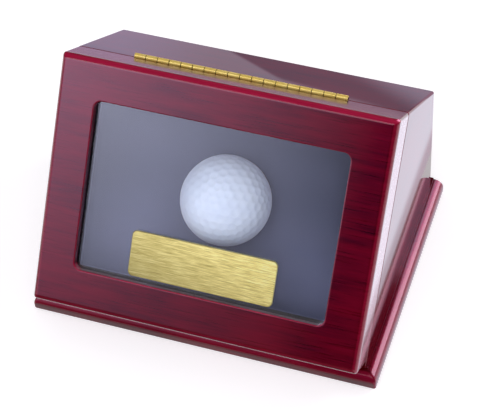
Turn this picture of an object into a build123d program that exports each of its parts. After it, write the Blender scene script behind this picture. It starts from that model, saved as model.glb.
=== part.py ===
"""Golf ball display case: a lacquered wooden case with a glazed lid on a piano hinge.

Millimetres, +X right, +Y to the back, +Z up. The origin is the centre of the felt pad's
underside. The top slopes down to the back and the lid is square to it, so the lid and the
insert are placed in the lid's own frame: x to the right, `up` along the lid's face from its
top front edge, and `depth` behind that face.
"""

import os
from math import cos, radians, sin, sqrt

from build123d import *

# Case
base_width = 170.0
base_depth = 125.0
base_thickness = 9.0
base_overhang = 6.2
back_height = 73.0
top_depth = 80.0
top_slope = 36.0
back_reveal = 1.0
wall = 9.0
body_edge_radius = 1.2
opening_edge_radius = 0.5

# Base edge: a quarter round under a narrow flat land
moulding_radius = 4.6
land_height = 0.9
land_inset = 5.0
base_lower_radius = 1.2
base_corner_radius = 1.0

# Felt pad under the base
pad_thickness = 1.2
pad_inset = 3.0

# Lid
lid_length = 118.5
lid_depth = 20.0
seam = 0.4
stile_width = 18.5
rail_width = 19.0
lid_roundover = 3.0
lid_corner_radius = 1.5
lid_rear_radius = 0.5
window_radius = 3.5
window_edge_radius = 0.6

# Glass, its rebate and the beads behind it
reveal = 3.5
rebate = 4.0
glass_thickness = 2.0
glass_clearance = 0.5
bead_depth = 5.0
bead_setback = 0.4

# Plate on the glass
plate_width = 69.85
plate_height = 22.0
plate_thickness = 0.8
plate_corner_radius = 2.5
plate_edge_chamfer = 0.3
plate_gap = 2.3
tape_thickness = 0.25
tape_inset = 1.5

# Golf ball
ball_radius = 21.335
ball_cover_thickness = 1.8
ball_core_gap = 0.05
ball_gap = 1.2

# Insert: a velvet-faced board between the sides, on two battens
ball_proud = 9.0
seat_gap = 0.15
velvet_thickness = 0.6
board_thickness = 4.0
batten = 6.0
batten_drop = 20.0
batten_length = 74.0

# Sill across the foot of the opening
sill_depth = 9.0
sill_height = 2.4

# Bumpers on the side panels' front edges
bumper_radius = 3.0
bumper_thickness = 0.3
bumper_inset = 14.0

# Piano hinge
hinge_length = 101.6
knuckle_count = 18
knuckle_radius = 1.3
knuckle_gap = 0.35
pin_radius = 0.6
pin_gap = 0.03
hinge_rise = 0.8
leaf_thickness = 0.7
leaf_height = 7.5
leaf_recess_gap = 0.1
barrel_groove_gap = 0.25

# Hinge screws
hinge_screw_count = 5
hinge_screw_pitch = 21.0
hinge_screw_up = -4.4
hinge_screw_length = 9.0
hinge_screw_radius = 0.8
hinge_head_radius = 1.5

# Base screws, from below into the side and back panels
base_screw_radius = 1.6
base_head_radius = 3.2
base_head_height = 1.8
base_screw_length = 24.0
base_screw_setback = 15.5
base_screw_pitch = 54.0
back_screw_pitch = 84.0

# Every screw
screw_gap = 0.03
slot_width = 0.5
slot_depth = 0.3

# Places worked out from the sizes
slope = radians(top_slope)
back_y = base_depth / 2 - back_reveal
front_y = back_y - top_depth * cos(slope)
front_z = back_height + top_depth * sin(slope)
base_top = pad_thickness + base_thickness
body_width = base_width - 2 * base_overhang
body_front = lid_depth + seam
inner_half = body_width / 2 - wall
window_width = body_width - 2 * stile_width
window_height = lid_length - 2 * rail_width
rebate_width = window_width + 2 * rebate
rebate_height = window_height + 2 * rebate
glass_rear = reveal + glass_thickness
plate_up = rail_width + plate_gap + plate_height / 2 - lid_length
ball_up = -lid_length / 2
ball_depth = glass_rear + ball_gap + ball_radius
velvet_front = ball_depth + ball_proud
board_front = velvet_front + velvet_thickness
board_rear = board_front + board_thickness
hinge_depth = lid_depth + seam / 2
knuckle_pitch = hinge_length / knuckle_count
leaf_top = hinge_rise - knuckle_radius - knuckle_gap

face = Plane(origin=(0, front_y, front_z), x_dir=(1, 0, 0), z_dir=(0, -cos(slope), sin(slope)))
outward = Axis(face.origin, face.z_dir)
base_top_plane = Plane.XY.offset(base_top)


def at(depth, up):
    """Side-view point (y, z) of a place in the lid's frame."""
    y = front_y + depth * cos(slope) + up * sin(slope)
    z = front_z - depth * sin(slope) + up * cos(slope)
    return y, z


def foot(depth):
    """Where up the lid's frame the base's top lies, at a depth behind the face."""
    return (base_top - front_z + depth * sin(slope)) / cos(slope)


def behind(depth):
    """Plane parallel to the lid's face, so far behind it."""
    return face.offset(-depth)


def mitre(x, up, x_turn, up_turn):
    """Plane square to the lid's face through (x, up), its normal leaning 45 degrees."""
    corner = face.from_local_coords((x, up, 0))
    return Plane(origin=corner, x_dir=face.z_dir, z_dir=face.x_dir * x_turn + face.y_dir * up_turn)


def frame_bar(frame, side, half_width, top, bottom):
    """One of the four bars that a frame parts into at its mitres."""
    cuts = {
        "top": (mitre(-half_width, top, 1, 1), mitre(half_width, top, -1, 1), face.y_dir),
        "bottom": (mitre(-half_width, bottom, 1, -1), mitre(half_width, bottom, -1, -1), -face.y_dir),
        "left": (mitre(-half_width, top, -1, -1), mitre(-half_width, bottom, -1, 1), -face.x_dir),
        "right": (mitre(half_width, top, 1, -1), mitre(half_width, bottom, 1, 1), face.x_dir),
    }
    first, second, away = cuts[side]
    middle = Plane(origin=face.from_local_coords((0, (top + bottom) / 2, 0)), z_dir=away)
    with BuildPart() as bar:
        add(frame)
        for plane in (first, second, middle):
            split(bisect_by=plane, keep=Keep.TOP)
    return bar.part


def countersunk(radius, head_radius, head_height, length):
    """Solid of a countersunk screw along -Z, its head flush with Z = 0."""
    with BuildPart() as solid:
        with BuildSketch(Plane.XZ):
            with BuildLine():
                Polyline(
                    (0, 0), (head_radius, 0), (radius, -head_height),
                    (radius, radius - length), (0, -length), close=True,
                )
            make_face()
        revolve(axis=Axis.Z)
    return solid.part


def slotted_screw(radius, head_radius, head_height, length):
    """Countersunk screw with a driver slot."""
    with BuildPart() as solid:
        add(countersunk(radius, head_radius, head_height, length))
        Box(2 * head_radius, slot_width, 2 * slot_depth, mode=Mode.SUBTRACT)
    return solid.part


def screw_hole(radius, head_radius, head_height, length):
    """Hole that such a screw lies in."""
    return countersunk(radius + screw_gap, head_radius + screw_gap, head_height, length + screw_gap)


# Base: plate, felt and screws
base_screw_size = (base_screw_radius, base_head_radius, base_head_height, base_screw_length)
side_screw_x = body_width / 2 - wall / 2
rear_screw_y = back_y - base_screw_setback
base_screw_places = [
    (x, y) for x in (-side_screw_x, side_screw_x) for y in (rear_screw_y - base_screw_pitch, rear_screw_y)
]
base_screw_places += [(x, back_y - wall / 2) for x in (-back_screw_pitch / 2, back_screw_pitch / 2)]
from_below = [
    Location(Plane(origin=(x, y, pad_thickness), x_dir=(1, 0, 0), z_dir=(0, 0, -1)))
    for x, y in base_screw_places
]

with BuildPart() as base_screws:
    with Locations(*from_below):
        add(slotted_screw(*base_screw_size))

with BuildPart() as base_screw_holes:
    with Locations(*from_below):
        add(screw_hole(*base_screw_size))

with BuildPart() as base_plate:
    with BuildSketch(Plane.XY.offset(pad_thickness)):
        Rectangle(base_width, base_depth)
    extrude(amount=base_thickness - land_height)
    fillet(base_plate.edges().filter_by(Axis.Z).group_by(Axis.Y)[0], radius=base_corner_radius)
    upper_edges = base_plate.faces().sort_by(Axis.Z)[-1].edges().sort_by(Axis.Y)[:-1]
    fillet(upper_edges, radius=moulding_radius)
    lower_edges = base_plate.faces().sort_by(Axis.Z)[0].edges().sort_by(Axis.Y)[:-1]
    fillet(lower_edges, radius=base_lower_radius)
    with BuildSketch(Plane.XY.offset(base_top - land_height)):
        with Locations((0, land_inset / 2)):
            Rectangle(base_width - 2 * land_inset, base_depth - land_inset)
    extrude(amount=land_height)
    add(base_screw_holes.part, mode=Mode.SUBTRACT)

with BuildPart() as base_felt:
    with BuildSketch():
        Rectangle(base_width - 2 * pad_inset, base_depth - 2 * pad_inset)
    extrude(amount=pad_thickness)

# Body: side, top and back panels, cut from one rounded block
with BuildPart() as body_block:
    with BuildSketch(Plane.YZ):
        with BuildLine():
            Polyline(
                at(body_front, foot(body_front)), at(body_front, 0),
                (back_y, back_height), (back_y, base_top), close=True,
            )
        make_face()
    extrude(amount=body_width / 2, both=True)
    opening_edges = body_block.faces().sort_by(outward)[-1].edges()
    resting_edges = body_block.faces().sort_by(Axis.Z)[0].edges()
    fillet(body_block.edges() - opening_edges - resting_edges, radius=body_edge_radius)
    opening_edges = body_block.faces().filter_by(outward).sort_by(outward)[-1].edges()
    resting_edges = body_block.faces().sort_by(Axis.Z)[0].edges()
    fillet(opening_edges - resting_edges, radius=opening_edge_radius)

with BuildPart() as side_panel_left:
    add(body_block.part)
    split(bisect_by=Plane.YZ.offset(-inner_half), keep=Keep.BOTTOM)
    add(base_screw_holes.part, mode=Mode.SUBTRACT)

with BuildPart() as side_panel_right:
    add(body_block.part)
    split(bisect_by=Plane.YZ.offset(inner_half), keep=Keep.TOP)
    add(base_screw_holes.part, mode=Mode.SUBTRACT)

corner_depth = (back_y - wall - front_y + wall * sin(slope)) / cos(slope)
with BuildPart() as top_and_back:
    add(body_block.part)
    split(bisect_by=Plane.YZ.offset(-inner_half), keep=Keep.TOP)
    split(bisect_by=Plane.YZ.offset(inner_half), keep=Keep.BOTTOM)
    with BuildSketch(Plane.YZ):
        with BuildLine():
            Polyline(
                at(lid_depth, foot(lid_depth)), at(lid_depth, -wall), at(corner_depth, -wall),
                (back_y - wall, base_top), close=True,
            )
        make_face()
    extrude(amount=body_width / 2, both=True, mode=Mode.SUBTRACT)

corner_z = at(corner_depth, -wall)[1]
back_mitre = Plane(
    origin=(0, back_y, back_height), x_dir=(1, 0, 0), z_dir=(0, corner_z - back_height, wall)
)

with BuildPart() as back_panel:
    add(top_and_back.part)
    split(bisect_by=back_mitre, keep=Keep.BOTTOM)
    add(base_screw_holes.part, mode=Mode.SUBTRACT)

# Piano hinge: its leaves, and the recesses, groove and holes that it needs in the wood
hinge_screw_size = (hinge_screw_radius, hinge_head_radius, leaf_thickness, hinge_screw_length)
hinge_screw_xs = [(n - (hinge_screw_count - 1) / 2) * hinge_screw_pitch for n in range(hinge_screw_count)]
axis_origin = face.from_local_coords((0, hinge_rise, -hinge_depth))
across_hinge = Plane(origin=axis_origin, x_dir=face.y_dir, z_dir=(1, 0, 0))


def knuckle_xs(first):
    """Middles of every second knuckle, from the one so numbered."""
    start = knuckle_pitch * (first + 0.5) - hinge_length / 2
    return [start + 2 * knuckle_pitch * n for n in range(knuckle_count // 2)]


def along_hinge(radius, length, middle=0.0):
    """Cylinder on the hinge's axis, about a middle x."""
    with BuildPart() as cylinder:
        with BuildSketch(across_hinge.offset(middle - length / 2)):
            Circle(radius)
        extrude(amount=length)
    return cylinder.part


def hinge_leaf(seat, inward, first, places):
    """Leaf on a plane of the seam, let into the wood, with every second knuckle."""
    knuckle_width = knuckle_pitch - knuckle_gap
    with BuildPart() as leaf:
        with BuildSketch(behind(seat)):
            with Locations((0, leaf_top - leaf_height / 2)):
                Rectangle(hinge_length, leaf_height)
            with Locations(*[(x, (leaf_top + hinge_rise) / 2) for x in knuckle_xs(first)]):
                Rectangle(knuckle_width, hinge_rise - leaf_top)
        extrude(amount=inward * leaf_thickness)
        for x in knuckle_xs(first):
            add(along_hinge(knuckle_radius, knuckle_width, x))
        add(along_hinge(pin_radius + pin_gap, hinge_length), mode=Mode.SUBTRACT)
        with Locations(*places):
            add(screw_hole(*hinge_screw_size), mode=Mode.SUBTRACT)
    return leaf.part


def hinge_recess(seat, inward, places):
    """What is cut from the wood for one leaf, its screws and the barrel."""
    with BuildPart() as recess:
        with BuildSketch(behind(seat)):
            with Locations((0, (hinge_rise + leaf_top - leaf_height - leaf_recess_gap) / 2)):
                Rectangle(
                    hinge_length + 2 * leaf_recess_gap,
                    hinge_rise - leaf_top + leaf_height + leaf_recess_gap,
                )
        extrude(amount=inward * leaf_thickness)
        add(along_hinge(knuckle_radius + barrel_groove_gap, hinge_length + 2 * leaf_recess_gap))
        with Locations(*places):
            add(screw_hole(*hinge_screw_size))
    return recess.part


def hinge_screw_places(seat, z_dir):
    """Where the leaf's screws lie, heads flush with the leaf's open face."""
    origins = [face.from_local_coords((x, hinge_screw_up, -seat)) for x in hinge_screw_xs]
    return [Location(Plane(origin=origin, x_dir=(1, 0, 0), z_dir=z_dir)) for origin in origins]


case_screw_places = hinge_screw_places(body_front, face.z_dir)
lid_screw_places = hinge_screw_places(lid_depth, -face.z_dir)

with BuildPart() as hinge_leaf_case:
    add(hinge_leaf(body_front, -1, 0, case_screw_places))

with BuildPart() as hinge_leaf_lid:
    add(hinge_leaf(lid_depth, 1, 1, lid_screw_places))

with BuildPart() as hinge_pin:
    add(along_hinge(pin_radius, hinge_length))

with BuildPart() as hinge_screws_case:
    with Locations(*case_screw_places):
        add(slotted_screw(*hinge_screw_size))

with BuildPart() as hinge_screws_lid:
    with Locations(*lid_screw_places):
        add(slotted_screw(*hinge_screw_size))

with BuildPart() as top_panel:
    add(top_and_back.part)
    split(bisect_by=back_mitre, keep=Keep.TOP)
    add(hinge_recess(body_front, -1, case_screw_places), mode=Mode.SUBTRACT)

# Sill, linings and bumpers round the opening
with BuildPart() as front_sill:
    sill_rear = body_front + sill_depth
    sill_top = foot(sill_rear) + sill_height
    with BuildSketch(Plane.YZ):
        with BuildLine():
            Polyline(
                at(body_front, foot(body_front)), at(body_front, sill_top),
                at(sill_rear, sill_top), at(sill_rear, foot(sill_rear)), close=True,
            )
        make_face()
    extrude(amount=inner_half, both=True)

linings = {}
for name, side in (("left", -1), ("right", 1)):
    with BuildPart() as lining:
        with BuildSketch(Plane.YZ.offset(side * inner_half)):
            with BuildLine():
                Polyline(
                    at(body_front, foot(body_front)), at(body_front, -wall),
                    at(velvet_front, -wall), at(velvet_front, foot(velvet_front)), close=True,
                )
            make_face()
        extrude(amount=-side * velvet_thickness)
        add(front_sill.part, mode=Mode.SUBTRACT)
    linings[name] = lining

with BuildPart() as lining_top:
    with BuildSketch(behind(body_front)):
        with Locations((0, -wall - velvet_thickness / 2)):
            Rectangle(2 * (inner_half - velvet_thickness), velvet_thickness)
    extrude(amount=body_front - velvet_front)

with BuildPart() as lining_floor:
    rise = velvet_thickness / cos(slope)
    with BuildSketch(Plane.YZ):
        with BuildLine():
            Polyline(
                at(sill_rear, foot(sill_rear)), at(sill_rear, foot(sill_rear) + rise),
                at(velvet_front, foot(velvet_front) + rise), at(velvet_front, foot(velvet_front)),
                close=True,
            )
        make_face()
    extrude(amount=inner_half - velvet_thickness, both=True)

with BuildPart() as lid_bumpers:
    with BuildSketch(behind(body_front)):
        bumper_ups = (-bumper_inset, bumper_inset - lid_length)
        with Locations(*[(x, up) for x in (-side_screw_x, side_screw_x) for up in bumper_ups]):
            Circle(bumper_radius)
    extrude(amount=bumper_thickness)

# Insert: board and velvet with the ball's hole, and the battens behind
seat_radius = sqrt(ball_radius**2 - ball_proud**2) + seat_gap


def insert_sheet(front, thickness):
    """Sheet between the panels, bevelled to stand on the base, with the ball's hole."""
    with BuildPart() as sheet:
        with BuildSketch(behind(front)):
            with Locations((0, (foot(front) - wall) / 2)):
                Rectangle(2 * inner_half, -wall - foot(front))
            with Locations((0, ball_up)):
                Circle(seat_radius, mode=Mode.SUBTRACT)
        extrude(amount=-thickness)
        split(bisect_by=base_top_plane, keep=Keep.TOP)
    return sheet.part


with BuildPart() as insert_velvet:
    add(insert_sheet(velvet_front, velvet_thickness))

with BuildPart() as insert_board:
    add(insert_sheet(board_front, board_thickness))

battens = {}
for name, side in (("left", -1), ("right", 1)):
    with BuildPart() as strip:
        with BuildSketch(behind(board_rear)):
            with Locations((side * (inner_half - batten / 2), -batten_drop - batten_length / 2)):
                Rectangle(batten, batten_length)
        extrude(amount=-batten)
    battens[name] = strip

# Golf ball: a solid core in its cover
ball_centre = face.from_local_coords((0, ball_up, -ball_depth))
cover_inner_radius = ball_radius - ball_cover_thickness

with BuildPart() as golf_ball_cover:
    with Locations(ball_centre):
        Sphere(ball_radius)
        Sphere(cover_inner_radius, mode=Mode.SUBTRACT)

with BuildPart() as golf_ball_core:
    with Locations(ball_centre):
        Sphere(cover_inner_radius - ball_core_gap)

# Lid: four mitred bars round the window, rebated behind for the glass
with BuildPart() as lid_frame:
    with BuildSketch(face):
        with Locations((0, -lid_length / 2)):
            Rectangle(body_width, lid_length)
    extrude(amount=-lid_depth)
    fillet(lid_frame.edges().filter_by(outward), radius=lid_corner_radius)
    front_and_rear = lid_frame.faces().filter_by(outward).sort_by(outward)
    rear_edges = front_and_rear[0].edges()
    fillet(rear_edges, radius=lid_rear_radius)
    front_and_rear = lid_frame.faces().filter_by(outward).sort_by(outward)
    fillet(front_and_rear[-1].edges(), radius=lid_roundover)
    with BuildSketch(face):
        with Locations((0, -lid_length / 2)):
            RectangleRounded(window_width, window_height, window_radius)
    extrude(amount=-lid_depth, mode=Mode.SUBTRACT)
    window_edges = lid_frame.faces().filter_by(outward).sort_by(outward)[-1].inner_wires()[0].edges()
    fillet(window_edges, radius=window_edge_radius)
    with BuildSketch(behind(reveal)):
        with Locations((0, -lid_length / 2)):
            Rectangle(rebate_width, rebate_height)
    extrude(amount=reveal - lid_depth, mode=Mode.SUBTRACT)

lid_bars = {}
for side in ("top", "bottom", "left", "right"):
    with BuildPart() as bar:
        add(frame_bar(lid_frame.part, side, body_width / 2, 0, -lid_length))
        if side == "top":
            add(hinge_recess(lid_depth, 1, lid_screw_places), mode=Mode.SUBTRACT)
    lid_bars[side] = bar

with BuildPart() as glass_pane:
    with BuildSketch(behind(reveal)):
        with Locations((0, -lid_length / 2)):
            Rectangle(rebate_width - 2 * glass_clearance, rebate_height - 2 * glass_clearance)
    extrude(amount=-glass_thickness)

with BuildPart() as bead_frame:
    bead_width = rebate - bead_setback
    with BuildSketch(behind(glass_rear)):
        with Locations((0, -lid_length / 2)):
            Rectangle(rebate_width, rebate_height)
            Rectangle(rebate_width - 2 * bead_width, rebate_height - 2 * bead_width, mode=Mode.SUBTRACT)
    extrude(amount=-bead_depth)

beads = {}
for side in ("top", "bottom", "left", "right"):
    rebate_top = rebate - rail_width
    rebate_bottom = rebate_top - rebate_height
    with BuildPart() as bead:
        add(frame_bar(bead_frame.part, side, rebate_width / 2, rebate_top, rebate_bottom))
    beads[side] = bead

# Plate, taped to the front of the glass
with BuildPart() as plate_tape:
    with BuildSketch(behind(reveal)):
        with Locations((0, plate_up)):
            Rectangle(plate_width - 2 * tape_inset, plate_height - 2 * tape_inset)
    extrude(amount=tape_thickness)

with BuildPart() as brass_plate:
    with BuildSketch(behind(reveal - tape_thickness)):
        with Locations((0, plate_up)):
            RectangleRounded(plate_width, plate_height, plate_corner_radius)
    extrude(amount=plate_thickness)
    plate_rim = brass_plate.faces().filter_by(outward).sort_by(outward)[-1].edges()
    chamfer(plate_rim, length=plate_edge_chamfer)

pieces = {
    "base_plate": base_plate,
    "base_felt": base_felt,
    "base_screws": base_screws,
    "side_panel_left": side_panel_left,
    "side_panel_right": side_panel_right,
    "top_panel": top_panel,
    "back_panel": back_panel,
    "front_sill": front_sill,
    "lining_left": linings["left"],
    "lining_right": linings["right"],
    "lining_top": lining_top,
    "lining_floor": lining_floor,
    "lid_bumpers": lid_bumpers,
    "insert_board": insert_board,
    "insert_velvet": insert_velvet,
    "insert_batten_left": battens["left"],
    "insert_batten_right": battens["right"],
    "golf_ball_cover": golf_ball_cover,
    "golf_ball_core": golf_ball_core,
    "hinge_leaf_case": hinge_leaf_case,
    "hinge_leaf_lid": hinge_leaf_lid,
    "hinge_pin": hinge_pin,
    "hinge_screws_case": hinge_screws_case,
    "hinge_screws_lid": hinge_screws_lid,
    "lid_top_rail": lid_bars["top"],
    "lid_bottom_rail": lid_bars["bottom"],
    "lid_left_stile": lid_bars["left"],
    "lid_right_stile": lid_bars["right"],
    "glass_pane": glass_pane,
    "glass_bead_top": beads["top"],
    "glass_bead_bottom": beads["bottom"],
    "glass_bead_left": beads["left"],
    "glass_bead_right": beads["right"],
    "plate_tape": plate_tape,
    "brass_plate": brass_plate,
}

os.makedirs("parts", exist_ok=True)
for name, piece in pieces.items():
    piece.part.label = name
    export_step(piece.part, f"parts/{name}.step")
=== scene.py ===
"""Golf ball display case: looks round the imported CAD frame. Metres, +X right, +Y back, +Z up."""

import math

import bmesh
import bpy
from mathutils import Matrix, Vector, kdtree, noise


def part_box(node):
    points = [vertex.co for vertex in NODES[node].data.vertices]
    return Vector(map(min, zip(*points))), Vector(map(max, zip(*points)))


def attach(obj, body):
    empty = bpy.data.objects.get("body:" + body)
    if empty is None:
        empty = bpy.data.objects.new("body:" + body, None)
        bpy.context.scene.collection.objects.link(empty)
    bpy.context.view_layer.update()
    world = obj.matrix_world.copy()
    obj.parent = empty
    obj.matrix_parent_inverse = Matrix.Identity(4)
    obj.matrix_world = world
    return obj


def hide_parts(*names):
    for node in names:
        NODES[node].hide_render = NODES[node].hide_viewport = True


X, Y, Z = Vector((1, 0, 0)), Vector((0, 1, 0)), Vector((0, 0, 1))

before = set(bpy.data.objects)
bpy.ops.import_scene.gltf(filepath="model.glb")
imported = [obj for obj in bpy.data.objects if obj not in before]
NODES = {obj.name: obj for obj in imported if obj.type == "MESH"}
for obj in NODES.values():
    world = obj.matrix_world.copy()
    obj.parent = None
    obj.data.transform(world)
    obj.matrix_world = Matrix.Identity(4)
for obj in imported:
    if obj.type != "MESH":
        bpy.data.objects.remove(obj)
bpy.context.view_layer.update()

# The lid's frame: x to the right, `up` along its face from the top front edge, `depth` behind it
SLOPE = math.radians(36)
BACK_Y = 0.0615
FRONT_Y = BACK_Y - 0.080 * math.cos(SLOPE)
FRONT_Z = 0.073 + 0.080 * math.sin(SLOPE)
FACE_OUT = Vector((0, -math.cos(SLOPE), math.sin(SLOPE)))
FACE_UP = Vector((0, math.sin(SLOPE), math.cos(SLOPE)))

# Photograph's size and the camera that fits it
IMAGE_WIDTH = 483
SENSOR_WIDTH = 36
CAMERA_PLACE = (0.21312, -0.53388, 0.711498)
CAMERA_AZIMUTH = 21.658
CAMERA_ELEVATION = 49.730
CAMERA_ROLL = -4.432
CAMERA_FOCAL_PIXELS = 1861.523

# Golf ball: its place in the lid's frame, its cover, and its dimples (reach is on a ball of radius 1)
BALL_CENTRE_DEPTH = 0.028035
BALL_CENTRE_UP = -0.05925
BALL_RADIUS = 0.021335
BALL_INNER_RADIUS = 0.019535
DIMPLE_FREQUENCY = 6
DIMPLE_REACH = 0.088
DIMPLE_DEPTH = 0.00030

# Studio: a room of cards round the case, and the floor's white as a mirror shows it
ROOM_HALF_WIDTH = 2.2
ROOM_HALF_DEPTH = 1.2
ROOM_HEIGHT = 1.6
FLOOR_HALF_SIZE = 6.0
FLOOR_WHITE = (1.0, 0.985, 1.03)


def at(x, depth, up):
    """World place of a point in the lid's frame."""
    return Vector((x, FRONT_Y, FRONT_Z)) - FACE_OUT * depth + FACE_UP * up


# ---------------------------------------------------------------- node helpers
class Tree:
    """Small wrapper for building one material's nodes."""

    def __init__(self, name):
        self.mat = bpy.data.materials.new(name)
        self.mat.use_nodes = True
        self.nt = self.mat.node_tree
        self.nt.nodes.clear()
        self.out = self.nt.nodes.new("ShaderNodeOutputMaterial")
        self.coord = self.nt.nodes.new("ShaderNodeTexCoord")

    def node(self, kind, inputs=None, **props):
        n = self.nt.nodes.new(kind)
        for k, v in props.items():
            setattr(n, k, v)
        for k, v in (inputs or {}).items():
            self.put(n.inputs[k], v)
        return n

    def put(self, socket, value):
        if isinstance(value, bpy.types.NodeSocket):
            self.nt.links.new(value, socket)
        elif isinstance(value, (tuple, list)) and len(value) == 3 and socket.type == "RGBA":
            socket.default_value = (*value, 1)
        else:
            socket.default_value = value

    def mapping(self, scale, location=(0, 0, 0)):
        inputs = {"Vector": self.coord.outputs["Object"], "Scale": scale, "Location": location}
        return self.node("ShaderNodeMapping", inputs).outputs["Vector"]

    def noise(self, vector, scale, detail=4.0, roughness=0.5, distortion=0.0):
        inputs = {"Vector": vector, "Scale": scale, "Detail": detail}
        inputs.update({"Roughness": roughness, "Distortion": distortion})
        return self.node("ShaderNodeTexNoise", inputs).outputs["Fac"]

    def math(self, op, a, b=0.0, c=0.0, clamp=False):
        return self.node("ShaderNodeMath", {0: a, 1: b, 2: c}, operation=op, use_clamp=clamp).outputs[0]

    def remap(self, value, low, high, to_low=0.0, to_high=1.0, smooth=False):
        return self.node(
            "ShaderNodeMapRange",
            {"Value": value, "From Min": low, "From Max": high, "To Min": to_low, "To Max": to_high},
            interpolation_type="SMOOTHSTEP" if smooth else "LINEAR",
        ).outputs["Result"]

    def ramp(self, value, stops):
        n = self.node("ShaderNodeValToRGB", {"Fac": value})
        while len(n.color_ramp.elements) < len(stops):
            n.color_ramp.elements.new(0.5)
        for element, (place, colour) in zip(n.color_ramp.elements, stops):
            element.position = place
            element.color = (*colour, 1)
        return n.outputs["Color"]

    def mix(self, factor, a, b, blend="MIX"):
        n = self.node("ShaderNodeMix", data_type="RGBA", blend_type=blend)
        self.put(n.inputs[0], factor)
        self.put(n.inputs[6], a)
        self.put(n.inputs[7], b)
        return n.outputs[2]

    def scaled(self, colour, factor):
        inputs = {0: colour, "Scale": factor}
        return self.node("ShaderNodeVectorMath", inputs, operation="SCALE").outputs["Vector"]

    def dot(self, vector, axis):
        inputs = {0: vector, 1: tuple(axis)}
        return self.node("ShaderNodeVectorMath", inputs, operation="DOT_PRODUCT").outputs["Value"]

    def bump(self, height, distance, strength):
        inputs = {"Height": height, "Distance": distance, "Strength": strength}
        return self.node("ShaderNodeBump", inputs).outputs["Normal"]

    def shader(self, **inputs):
        names = {k.replace("_", " "): v for k, v in inputs.items()}
        n = self.node("ShaderNodeBsdfPrincipled", names)
        self.nt.links.new(n.outputs[0], self.out.inputs[0])
        return self.mat


def along(t, direction, low, high, smooth=True):
    """0 to 1 along one direction, between two distances from the world's origin."""
    return t.remap(t.dot(t.coord.outputs["Object"], direction), low, high, smooth=smooth)


def near_face(t, reach):
    """1 on the lid's face and down to `reach` behind it, 0 deeper."""
    face = at(0, 0, 0).dot(FACE_OUT)
    return along(t, FACE_OUT, face - reach - 0.001, face - reach, smooth=False)


def facing(t, axis):
    """Cosine between the surface's normal and an axis."""
    return t.dot(t.node("ShaderNodeNewGeometry").outputs["Normal"], axis)


def roundness(t, axes):
    """How far the normal is from each of these axes: 0 on a flat, more on a rounded edge."""
    best = 0.0
    for axis in axes:
        best = t.math("MAXIMUM", t.math("ABSOLUTE", facing(t, axis)), best)
    return t.math("SUBTRACT", 1.0, best)


def lacquer(name, axes, grain=(1, 0, 0), edge=1.0, under=0.0, face_only=False, coat=1.0):
    """Wine-red gloss lacquer: streaked grain along one axis, with a painted highlight of brighter crimson
    on the rounded edges.

    `edge` is how strong the painted edge highlight is, `under` the wood's own shine below the coat, and
    `face_only` keeps the painted highlight to the lid's face, stronger where the edge faces up.
    """
    t = Tree(name)
    stretch = [0.035 if g else 1.0 for g in grain]
    streaks = t.noise(t.mapping([1300 * s for s in stretch]), 1.0, 4.0, 0.6, 0.1)
    band_scale = [260 * (0.12 if g else 1.0) for g in grain]
    bands = t.noise(t.mapping(band_scale, location=(3.1, 1.7, 0.4)), 1.0, 3.0, 0.55, 0.2)
    patches = t.noise(t.mapping((22, 30, 30)), 1.0, 2.0)
    pores = t.noise(t.mapping([2600 * s for s in stretch], location=(0.2, 5.0, 2.0)), 1.0, 2.0, 0.5)
    figure = t.math("ADD", t.math("MULTIPLY", streaks, 0.42), t.math("MULTIPLY", bands, 0.58))
    figure = t.math("ADD", figure, t.math("MULTIPLY", t.math("SUBTRACT", patches, 0.5), 0.5))
    wood = t.ramp(
        figure,
        [
            (0.30, (0.018, 0.0001, 0.0002)),
            (0.42, (0.056, 0.0002, 0.0008)),
            (0.53, (0.084, 0.0003, 0.0016)),
            (0.68, (0.118, 0.0006, 0.0036)),
        ],
    )
    pore_mask = t.remap(pores, 0.60, 0.72)
    wood = t.mix(t.math("MULTIPLY", pore_mask, 0.45), wood, (0.012, 0.0006, 0.001))
    # Painted highlight: brighter crimson mixed in on the rounded edges; on the lid only near its face, and
    # more where the edge faces up.
    painted_edge_highlight = t.remap(roundness(t, axes), 0.004, 0.06, smooth=True)
    painted_edge_highlight = t.math("MULTIPLY", painted_edge_highlight, t.remap(streaks, 0.35, 0.65, 0.75 * edge, edge), clamp=True)
    if face_only:
        painted_edge_highlight = t.math("MULTIPLY", painted_edge_highlight, near_face(t, 0.0036))
        painted_edge_highlight = t.math("MULTIPLY", painted_edge_highlight, t.remap(facing(t, FACE_UP), 0.0, 0.5, 0.4, 1.0))
    wood = t.mix(painted_edge_highlight, wood, (0.38, 0.009, 0.045))
    rough = t.remap(streaks, 0.3, 0.7, 0.24, 0.40)
    base_normal = t.bump(t.math("ADD", streaks, pore_mask), 0.00004, 0.25)
    peel = t.noise(t.mapping((260, 260, 260)), 1.0, 1.0)
    coat_normal = t.bump(peel, 0.00002, 0.2)
    return t.shader(
        Base_Color=wood, Roughness=rough, Normal=base_normal, IOR=1.5, Specular_IOR_Level=under,
        Specular_Tint=(1.0, 0.02, 0.25, 1.0), Coat_Weight=coat, Coat_Roughness=0.06, Coat_IOR=1.45,
        Coat_Normal=coat_normal,
    )


lid_lacquer = lacquer("lacquer_lid", (X, FACE_OUT, FACE_UP), under=0.55, face_only=True)
body_lacquer = lacquer("lacquer_body", (X, Y, FACE_OUT, FACE_UP), edge=0.3)
side_lacquer = lacquer("lacquer_side", (X, Y, FACE_OUT, FACE_UP), grain=(0, 1, 0), edge=0.3)
base_lacquer = lacquer("lacquer_base", (X, Y, Z), edge=0.42, under=0.3, coat=0.6)


def stained():
    t = Tree("black_stained_wood")
    grain = t.noise(t.mapping((25, 700, 700)), 1.0, 5.0, 0.6)
    colour = t.ramp(grain, [(0.35, (0.003, 0.003, 0.004)), (0.65, (0.012, 0.011, 0.013))])
    return t.shader(
        Base_Color=colour, Roughness=t.remap(grain, 0.3, 0.7, 0.55, 0.75),
        Normal=t.bump(grain, 0.00006, 0.5), IOR=1.4, Specular_IOR_Level=0.2,
    )


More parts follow.
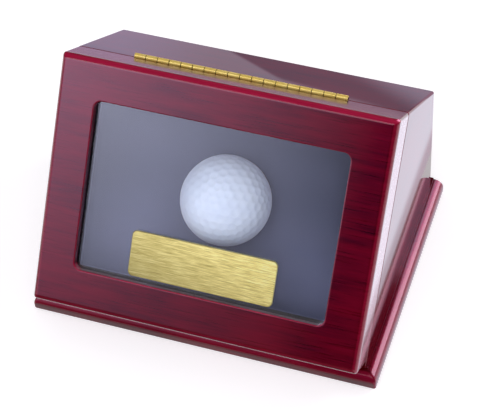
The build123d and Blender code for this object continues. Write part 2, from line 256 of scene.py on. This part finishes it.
def fibreboard():
    t = Tree("raw_fibreboard")
    fibres = t.noise(t.mapping((1100, 1100, 1100)), 1.0, 6.0, 0.7, 0.8)
    cloud = t.noise(t.mapping((90, 90, 90)), 1.0, 3.0)
    colour = t.mix(0.4, t.ramp(fibres, [(0.3, (0.22, 0.155, 0.10)), (0.7, (0.46, 0.35, 0.24))]),
                   t.ramp(cloud, [(0.3, (0.30, 0.22, 0.145)), (0.7, (0.40, 0.30, 0.20))]))
    return t.shader(Base_Color=colour, Roughness=t.remap(fibres, 0.3, 0.7, 0.75, 0.95),
                    Normal=t.bump(fibres, 0.0001, 0.6), IOR=1.45)


def velvet(name, dark, light, sheen):
    """Short pile, with painted light that makes it lighter towards the foot of the insert."""
    t = Tree(name)
    pile = t.noise(t.mapping((9000, 9000, 9000)), 1.0, 2.0, 0.6)
    brushed = t.noise(t.mapping((30, 45, 45)), 1.0, 3.0, 0.5, 0.7)
    colour = t.mix(t.remap(brushed, 0.3, 0.7, 0.25, 0.75), t.ramp(pile, [(0.3, dark), (0.7, light)]), dark)
    # Painted light: the colour is scaled up to 2.7 times towards the foot, lifting the shade low in the
    # case.
    foot, head = at(0, 0, -0.110).dot(FACE_UP), at(0, 0, -0.050).dot(FACE_UP)
    painted_lift_to_foot = t.math("MULTIPLY_ADD", along(t, FACE_UP, foot, head), -1.7, 2.7)
    colour = t.scaled(colour, painted_lift_to_foot)
    return t.shader(
        Base_Color=colour, Roughness=t.remap(pile, 0.3, 0.7, 0.8, 0.98), Normal=t.bump(pile, 0.00002, 0.25),
        Sheen_Weight=sheen, Sheen_Roughness=0.45, Sheen_Tint=(0.50, 0.55, 0.85), IOR=1.4,
        Specular_IOR_Level=0.2,
    )


def felt():
    t = Tree("pressed_felt")
    fibres = t.noise(t.mapping((1500, 1500, 1500)), 1.0, 5.0, 0.7, 1.2)
    colour = t.ramp(fibres, [(0.3, (0.016, 0.016, 0.017)), (0.7, (0.05, 0.05, 0.052))])
    return t.shader(Base_Color=colour, Roughness=t.remap(fibres, 0.3, 0.7, 0.85, 1.0),
                    Normal=t.bump(fibres, 0.0003, 0.8), Sheen_Weight=0.25, Sheen_Roughness=0.6, IOR=1.4)


def polished_brass(name, dull, bright, leaf=None, metallic=0.35):
    """Brass; where the piece is flat it takes the darker leaf tone, painted shade that leaves the rounded
    barrel brighter.
    """
    t = Tree(name)
    wear = t.noise(t.mapping((120, 400, 400)), 1.0, 4.0, 0.6)
    fine = t.noise(t.mapping((300, 3500, 3500)), 1.0, 3.0, 0.6)
    colour = t.ramp(wear, [(0.3, dull), (0.7, bright)])
    # Painted shade: flat faces take the darker leaf tone, while rounded ones keep the brighter brass as a
    # painted highlight.
    if leaf is not None:
        colour = t.mix(t.remap(roundness(t, (X, FACE_OUT, FACE_UP)), 0.0005, 0.004), leaf, colour)
    return t.shader(Base_Color=colour, Metallic=metallic, Roughness=t.remap(fine, 0.3, 0.7, 0.30, 0.42),
                    Normal=t.bump(fine, 0.00002, 0.4))


def brushed_brass():
    """The plate: brushed along its length, with painted light rising to its upper right and a painted
    highlight on its rim.
    """
    t = Tree("brushed_brass")
    lines = t.noise(t.mapping((150, 5200, 5200)), 1.0, 4.0, 0.65)
    broad = t.noise(t.mapping((110, 1900, 1900), location=(1, 2, 3)), 1.0, 3.0, 0.6)
    tone = t.math("ADD", t.math("MULTIPLY", lines, 0.6), t.math("MULTIPLY", broad, 0.4))
    colour = t.ramp(
        tone, [(0.34, (0.33, 0.25, 0.065)), (0.5, (0.58, 0.48, 0.150)), (0.66, (0.86, 0.76, 0.31))],
    )
    low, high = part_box("brass_plate")
    # Painted light: the colour is scaled from 0.68 to 1.8 times towards the upper right, then capped by
    # DARKEN.
    across = along(t, X, low[0], high[0], smooth=False)
    rise = along(t, Z, low[2], high[2], smooth=False)
    painted_light_gradient = t.math("MULTIPLY_ADD", across, 0.70, t.math("MULTIPLY_ADD", rise, 0.42, 0.68))
    colour = t.scaled(colour, painted_light_gradient)
    colour = t.mix(1.0, colour, (1.0, 0.94, 0.52), blend="DARKEN")
    # Painted highlight: a paler brass on the plate's rim.
    colour = t.mix(t.remap(roundness(t, (FACE_OUT,)), 0.1, 0.6), colour, (1.0, 0.95, 0.62))
    return t.shader(Base_Color=colour, Metallic=1.0, Roughness=t.remap(lines, 0.3, 0.7, 0.34, 0.50),
                    Normal=t.bump(lines, 0.00003, 0.55))


def steel():
    t = Tree("zinc_steel")
    grain = t.noise(t.mapping((900, 900, 900)), 1.0, 4.0)
    colour = t.ramp(grain, [(0.3, (0.48, 0.49, 0.50)), (0.7, (0.66, 0.66, 0.67))])
    return t.shader(Base_Color=colour, Metallic=1.0, Roughness=t.remap(grain, 0.3, 0.7, 0.28, 0.42),
                    Normal=t.bump(grain, 0.00002, 0.4))


def glass():
    """Clear pane that lets the lamps' light through, so that what lies behind it is lit."""
    t = Tree("clear_glass")
    haze = t.noise(t.mapping((60, 60, 60)), 1.0, 3.0)
    t.shader(
        Base_Color=t.ramp(haze, [(0.3, (0.93, 0.955, 0.97)), (0.7, (0.97, 0.98, 0.99))]),
        Roughness=0.0, Transmission_Weight=1.0, IOR=1.58,
        Normal=t.bump(haze, 0.00001, 0.1),
    )
    pane = t.out.inputs[0].links[0].from_socket
    clear = t.node("ShaderNodeBsdfTransparent", {"Color": (0.93, 0.95, 0.96)})
    lamps_pass = t.node(
        "ShaderNodeMixShader",
        {0: t.node("ShaderNodeLightPath").outputs["Is Shadow Ray"], 1: pane, 2: clear.outputs[0]},
    )
    t.nt.links.new(lamps_pass.outputs[0], t.out.inputs[0])
    return t.mat


def ball_cover():
    t = Tree("ball_cover_gloss")
    soft = t.noise(t.mapping((70, 70, 70)), 1.0, 3.0)
    fine = t.noise(t.mapping((2500, 2500, 2500)), 1.0, 2.0)
    colour = t.ramp(soft, [(0.3, (0.66, 0.72, 0.93)), (0.7, (0.72, 0.78, 0.99))])
    return t.shader(
        Base_Color=colour, Roughness=t.remap(fine, 0.3, 0.7, 0.44, 0.56), Normal=t.bump(fine, 0.00001, 0.3),
        IOR=1.4, Specular_IOR_Level=0.3, Subsurface_Weight=0.35, Subsurface_Scale=0.004,
        Subsurface_Radius=(1.0, 0.9, 0.8), Sheen_Weight=0.9, Sheen_Roughness=0.5,
        Sheen_Tint=(0.80, 0.80, 1.0),
    )


def rubber(name, dark, light, scale=700):
    t = Tree(name)
    grain = t.noise(t.mapping((scale,) * 3), 1.0, 4.0)
    return t.shader(Base_Color=t.ramp(grain, [(0.3, dark), (0.7, light)]),
                    Roughness=t.remap(grain, 0.3, 0.7, 0.45, 0.65), Normal=t.bump(grain, 0.00004, 0.4),
                    IOR=1.45)


wood_dark = stained()
board_mat = fibreboard()
velvet_mat = velvet("short_pile_velvet", (0.076, 0.079, 0.132), (0.098, 0.102, 0.166), 0.3)
felt_mat = felt()
brass_mat = polished_brass("polished_brass", (0.90, 0.64, 0.12), (0.98, 0.77, 0.23), (0.46, 0.34, 0.10))
screw_mat = polished_brass("screw_brass", (0.74, 0.55, 0.20), (0.92, 0.73, 0.34))
# Painted shade: the hinge pin is near black, so the gaps between the knuckles look dark.
shaded_pin_mat = polished_brass("pin_brass_painted_shade", (0.030, 0.018, 0.005), (0.075, 0.050, 0.014), metallic=1.0)
plate_mat = brushed_brass()
steel_mat = steel()
glass_mat = glass()
ball_mat = ball_cover()
core_mat = rubber("moulded_core", (0.28, 0.29, 0.31), (0.42, 0.43, 0.45))
bumper_mat = rubber("soft_dot", (0.62, 0.62, 0.62), (0.80, 0.80, 0.80))
tape_mat = rubber("foam_tape", (0.20, 0.15, 0.085), (0.28, 0.22, 0.13), 1500)

DRESS = {
    "lid_top_rail": lid_lacquer, "lid_bottom_rail": lid_lacquer, "lid_left_stile": lid_lacquer,
    "lid_right_stile": lid_lacquer, "top_panel": body_lacquer, "back_panel": body_lacquer,
    "side_panel_left": side_lacquer, "side_panel_right": side_lacquer, "base_plate": base_lacquer,
    "front_sill": wood_dark, "glass_bead_top": wood_dark, "glass_bead_bottom": wood_dark,
    "glass_bead_left": wood_dark, "glass_bead_right": wood_dark, "insert_board": board_mat,
    "insert_batten_left": board_mat, "insert_batten_right": board_mat, "insert_velvet": velvet_mat,
    "lining_left": velvet_mat, "lining_right": velvet_mat, "lining_top": velvet_mat,
    "lining_floor": velvet_mat, "base_felt": felt_mat, "hinge_leaf_case": brass_mat,
    "hinge_leaf_lid": brass_mat, "hinge_pin": shaded_pin_mat, "hinge_screws_case": screw_mat,
    "hinge_screws_lid": screw_mat, "base_screws": steel_mat, "glass_pane": glass_mat,
    "brass_plate": plate_mat, "plate_tape": tape_mat, "golf_ball_core": core_mat,
    "golf_ball_cover": ball_mat, "lid_bumpers": bumper_mat,
}
for name, material in DRESS.items():
    mesh = NODES[name].data
    mesh.materials.clear()
    mesh.materials.append(material)


def add_object(name, bm, material, body):
    """New piece from a bmesh, in place, riding on a CAD body."""
    mesh = bpy.data.meshes.new(name)
    bm.to_mesh(mesh)
    bm.free()
    mesh.materials.append(material)
    for polygon in mesh.polygons:
        polygon.use_smooth = True
    piece = bpy.data.objects.new(name, mesh)
    bpy.context.scene.collection.objects.link(piece)
    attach(piece, body)
    return piece


# ---------------------------------------------------------------- soft sheets
def soften(node, body, round_edge, cell, sink, wave):
    """Soft piece in a CAD solid's place: rounded edges and a gently uneven surface that only sinks."""
    bm = bmesh.new()
    bm.from_mesh(NODES[node].data)
    bmesh.ops.remove_doubles(bm, verts=bm.verts, dist=2e-6)
    bmesh.ops.dissolve_limit(bm, angle_limit=math.radians(3), verts=bm.verts, edges=bm.edges)
    sharp = [e for e in bm.edges if e.is_manifold and e.calc_face_angle() > math.radians(35)]
    bmesh.ops.bevel(
        bm, geom=sharp, offset=round_edge, segments=3, profile=0.5, affect="EDGES", clamp_overlap=True,
    )
    for axis in (X, Y, Z) if node == "base_felt" else (X, FACE_UP, FACE_OUT):
        places = [v.co.dot(axis) for v in bm.verts]
        low, high = min(places), max(places)
        cuts = int((high - low) / cell)
        for n in range(1, cuts):
            everything = bm.verts[:] + bm.edges[:] + bm.faces[:]
            middle = axis * (low + (high - low) * n / cuts)
            bmesh.ops.bisect_plane(bm, geom=everything, dist=1e-7, plane_co=middle, plane_no=axis)
    bmesh.ops.triangulate(bm, faces=bm.faces)
    bm.normal_update()
    for v, normal in [(v, v.normal.copy()) for v in bm.verts]:
        v.co -= normal * sink * (0.5 + 0.5 * noise.noise(v.co / wave))
    piece = add_object(node + "_soft", bm, NODES[node].data.materials[0], body)
    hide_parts(node)


soften("insert_velvet", "case", 0.00030, 0.004, 0.00014, 0.009)
for part in ("left", "right", "top", "floor"):
    soften("lining_" + part, "case", 0.00018, 0.004, 0.00010, 0.009)
soften("base_felt", "case", 0.00040, 0.003, 0.00020, 0.004)
soften("lid_bumpers", "case", 0.00012, 0.001, 0.00003, 0.002)
soften("plate_tape", "lid", 0.00010, 0.003, 0.00004, 0.003)


# ---------------------------------------------------------------- golf ball
def geodesic_points(frequency):
    """Points of an icosahedron whose faces are divided, spread on the unit sphere."""
    bm = bmesh.new()
    bmesh.ops.create_icosphere(bm, subdivisions=1, radius=1)
    corners = [v.co.copy() for v in bm.verts]
    faces = [[v.index for v in f.verts] for f in bm.faces]
    bm.free()
    points = {}
    for a, b, c in faces:
        for i in range(frequency + 1):
            for j in range(frequency + 1 - i):
                k = frequency - i - j
                p = (corners[a] * i + corners[b] * j + corners[c] * k).normalized()
                points[tuple(round(v, 5) for v in p)] = p
    return list(points.values())


def golf_ball():
    """Dimpled cover with a plain inner wall, in the CAD cover's place."""
    centres = geodesic_points(DIMPLE_FREQUENCY)
    tree = kdtree.KDTree(len(centres))
    for n, p in enumerate(centres):
        tree.insert(p, n)
    tree.balance()
    tilt = Matrix.Rotation(math.radians(25), 4, "X") @ Matrix.Rotation(math.radians(14), 4, "Z")
    bm = bmesh.new()
    bmesh.ops.create_icosphere(bm, subdivisions=7, radius=1)
    for v in bm.verts:
        direction = v.co.normalized()
        _, _, far = tree.find(direction)
        share = min(far / DIMPLE_REACH, 1.0)
        dip = (1 - share * share) ** 1.1 if share < 1 else 0.0
        v.co = direction * (BALL_RADIUS - DIMPLE_DEPTH * dip)
    inner = bmesh.ops.create_icosphere(bm, subdivisions=5, radius=BALL_INNER_RADIUS)
    bmesh.ops.reverse_faces(bm, faces=list({f for v in inner["verts"] for f in v.link_faces}))
    place = Matrix.Translation(at(0, BALL_CENTRE_DEPTH, BALL_CENTRE_UP)) @ tilt
    bmesh.ops.transform(bm, matrix=place, verts=bm.verts)
    ball = add_object("golf_ball_dimpled", bm, ball_mat, "case")
    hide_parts("golf_ball_cover")


golf_ball()


# ---------------------------------------------------------------- stage
def stage_mesh(name, corners, material):
    mesh = bpy.data.meshes.new(name)
    mesh.from_pydata([tuple(c) for c in corners], [], [(0, 1, 2, 3)])
    mesh.materials.append(material)
    obj = bpy.data.objects.new(name, mesh)
    bpy.context.scene.collection.objects.link(obj)
    return obj


def seen_directly(t):
    """1 for what the camera, a mirror or glass looks at, 0 for light."""
    path = t.node("ShaderNodeLightPath").outputs
    seen = t.math("MAXIMUM", path["Is Camera Ray"], path["Is Glossy Ray"])
    return t.math("MAXIMUM", seen, path["Is Transmission Ray"])


def floor():
    t = Tree("studio_floor")
    mottle = t.noise(t.mapping((6, 6, 6)), 1.0, 2.0)
    t.shader(
        Base_Color=t.ramp(mottle, [(0.3, (0.72, 0.71, 0.72)), (0.7, (0.74, 0.73, 0.74))]),
        Roughness=0.6, Specular_IOR_Level=0.0, Emission_Color=FLOOR_WHITE,
        Emission_Strength=t.math("MULTIPLY", seen_directly(t), 0.54),
    )
    s = FLOOR_HALF_SIZE
    stage_mesh("floor", [(-s, -s, 0), (s, -s, 0), (s, s, 0), (-s, s, 0)], t.mat)


def studio_world():
    """White all round: full to the camera, a mirror or glass, and less as light."""
    world = bpy.data.worlds.new("studio")
    bpy.context.scene.world = world
    world.use_nodes = True
    nodes, links = world.node_tree.nodes, world.node_tree.links
    nodes.clear()
    path = nodes.new("ShaderNodeLightPath").outputs
    seen = path["Is Camera Ray"]
    for ray in ("Is Glossy Ray", "Is Transmission Ray"):
        larger = nodes.new("ShaderNodeMath")
        larger.operation = "MAXIMUM"
        links.new(seen, larger.inputs[0])
        links.new(path[ray], larger.inputs[1])
        seen = larger.outputs[0]
    level = nodes.new("ShaderNodeMapRange")
    level.inputs["To Min"].default_value = 0.45
    level.inputs["To Max"].default_value = 1.0
    links.new(seen, level.inputs["Value"])
    background = nodes.new("ShaderNodeBackground")
    background.inputs["Color"].default_value = (1, 1, 1, 1)
    links.new(level.outputs["Result"], background.inputs["Strength"])
    links.new(background.outputs[0], nodes.new("ShaderNodeOutputWorld").inputs[0])


def softbox(name, place, target, size, energy):
    light = bpy.data.lights.new(name, "AREA")
    light.shape = "RECTANGLE"
    light.size, light.size_y = size
    light.energy = energy
    obj = bpy.data.objects.new(name, light)
    obj.location = place
    obj.rotation_mode = "QUATERNION"
    obj.rotation_quaternion = (Vector(target) - Vector(place)).to_track_quat("-Z", "Y")
    bpy.context.scene.collection.objects.link(obj)


floor()
studio_world()
softbox("key", (0.02, -1.05, 1.28), (0, 0, 0.06), (1.5, 1.5), 12.5)
softbox("fill", (1.05, 0.85, 0.64), (0, 0, 0.05), (0.45, 1.15), 7.5)


def card(name, corners, paint, two_sided=True):
    """Studio card, seen only by mirror rays and by rays already inside the glass; it lights nothing."""
    t = Tree(name)
    emission = t.node("ShaderNodeEmission", {"Color": paint(t)})
    path = t.node("ShaderNodeLightPath").outputs
    shallow = t.math("LESS_THAN", path["Ray Depth"], 2.5)
    through_pane = t.math("MULTIPLY", path["Is Transmission Ray"], shallow)
    unseen = t.math("MAXIMUM", through_pane, t.math("MINIMUM", path["Diffuse Depth"], 1.0))
    if not two_sided:
        unseen = t.math("MAXIMUM", unseen, t.node("ShaderNodeNewGeometry").outputs["Backfacing"])
    clear = t.node("ShaderNodeBsdfTransparent")
    shown = t.node("ShaderNodeMixShader", {0: unseen, 1: emission.outputs[0], 2: clear.outputs[0]})
    t.nt.links.new(shown.outputs[0], t.out.inputs[0])
    obj = stage_mesh(name, corners, t.mat)
    obj.visible_camera = False
    obj.visible_shadow = False
    obj.visible_diffuse = False


def front_tone(t):
    """Bright on the left and high up, black on the right."""
    aside = along(t, -X, 0.16, 0.55, smooth=False)
    lift = t.math("MULTIPLY_ADD", along(t, Z, 0.34, 0.62, smooth=False), 0.68, 0.32)
    return t.mix(t.math("MULTIPLY", aside, lift), (0, 0, 0), (2.9, 2.95, 3.9))


def top_tone(t):
    """What the sloping top mirrors: pale left, wine behind a sharp diagonal, paler again far right.

    The highest part is what the lid's own top edge mirrors, and is darker.
    """
    base = t.mix(along(t, -X, 0.02063, 0.08483), (0.57, 0.46, 0.60), (0.69, 0.58, 0.84))
    behind = t.math(
        "MULTIPLY",
        along(t, (0.316, 0, -0.949), -0.07599, -0.07428),
        along(t, (0.0755, 0, -0.997), -0.0813, -0.07874),
    )
    base = t.mix(behind, base, (0.31, 0.19, 0.28))
    base = t.mix(along(t, (1, 0, -3.0), -0.18606, -0.14327), base, (0.62, 0.50, 0.68))
    lid_edge = along(t, Z, 0.0838, 0.0850)
    return t.mix(lid_edge, base, t.mix(1.0, base, (0.78, 0.58, 0.63), blend="MULTIPLY"))


def window_tone(t):
    """Dark wall with one tall bright window on its right."""
    window = t.math("MULTIPLY", along(t, X, 0.10, 0.22), along(t, Z, 0.15, 0.35))
    return t.mix(window, (0.02, 0.02, 0.025), (6.0, 4.3, 6.2))


def side_tone(t):
    """What the right side mirrors: plain at the moulding, brighter beside it, then the floor's white."""
    near = t.mix(along(t, X, 0.087, 0.0895), (1.0, 0.85, 1.0), (1.55, 1.48, 1.70))
    away = t.math("MAXIMUM", along(t, X, 0.12, 0.20), along(t, Y, 0.13, 0.20))
    return t.mix(away, near, FLOOR_WHITE)


def dark_tone(t):
    """Near black all over."""
    return 0.025, 0.025, 0.03


def wall(name, start, end, height, paint, bottom=0.0):
    """Upright card between two places on the floor."""
    (x0, y0), (x1, y1) = start, end
    card(name, [(x0, y0, bottom), (x1, y1, bottom), (x1, y1, height), (x0, y0, height)], paint)


def flat(name, z, x_range, y_range, paint, two_sided=True):
    """Level card at one height."""
    (x0, x1), (y0, y1) = x_range, y_range
    card(name, [(x0, y0, z), (x1, y0, z), (x1, y1, z), (x0, y1, z)], paint, two_sided)


wide, deep, high = ROOM_HALF_WIDTH, ROOM_HALF_DEPTH, ROOM_HEIGHT
wall("front_card", (-wide, -deep), (wide, -deep), high, front_tone)
wall("back_card", (-wide, deep), (wide, deep), high, window_tone)
wall("left_card", (-wide, -deep), (-wide, deep), high, dark_tone)
wall("right_card", (wide, -deep), (wide, deep), high, dark_tone)
flat("ceiling_card", high, (-wide, wide), (-deep, deep), dark_tone)

# Painted reflections close to the case, seen only in the gloss: near black over the floor before its front
# edge, standing in for shade there; behind it for the sloping top; and over the floor beside it on the
# right, dimmer by the moulding as painted shade.
flat("low_card", 0.0008, (-0.30, 0.12), (-0.70, -0.0735), dark_tone, two_sided=False)
wall("top_card", (-0.1405, 0.066), (0.0845, 0.066), 0.0945, top_tone, bottom=0.0671)
flat("side_card", 0.0012, (0.0851, 0.20), (-0.10, 0.20), side_tone, two_sided=False)


# ---------------------------------------------------------------- camera
def fitted_camera():
    """The camera that gives the photo's view."""
    az, el, roll = (math.radians(v) for v in (CAMERA_AZIMUTH, CAMERA_ELEVATION, CAMERA_ROLL))
    back = Vector((math.sin(az) * math.cos(el), -math.cos(az) * math.cos(el), math.sin(el)))
    right = (-back).cross(Z).normalized()
    upward = right.cross(-back)
    side = right * math.cos(roll) + upward * math.sin(roll)
    top = upward * math.cos(roll) - right * math.sin(roll)
    camera = bpy.data.objects.new("camera", bpy.data.cameras.new("camera"))
    camera.data.sensor_width = SENSOR_WIDTH
    camera.data.lens = CAMERA_FOCAL_PIXELS * SENSOR_WIDTH / IMAGE_WIDTH
    camera.data.clip_start = 0.01
    camera.data.clip_end = 30
    camera.location = CAMERA_PLACE
    camera.rotation_mode = "QUATERNION"
    camera.rotation_quaternion = Matrix((side, top, back)).transposed().to_quaternion()
    bpy.context.scene.collection.objects.link(camera)
    bpy.context.scene.camera = camera


fitted_camera()
bpy.context.scene.view_settings.view_transform = "Standard"
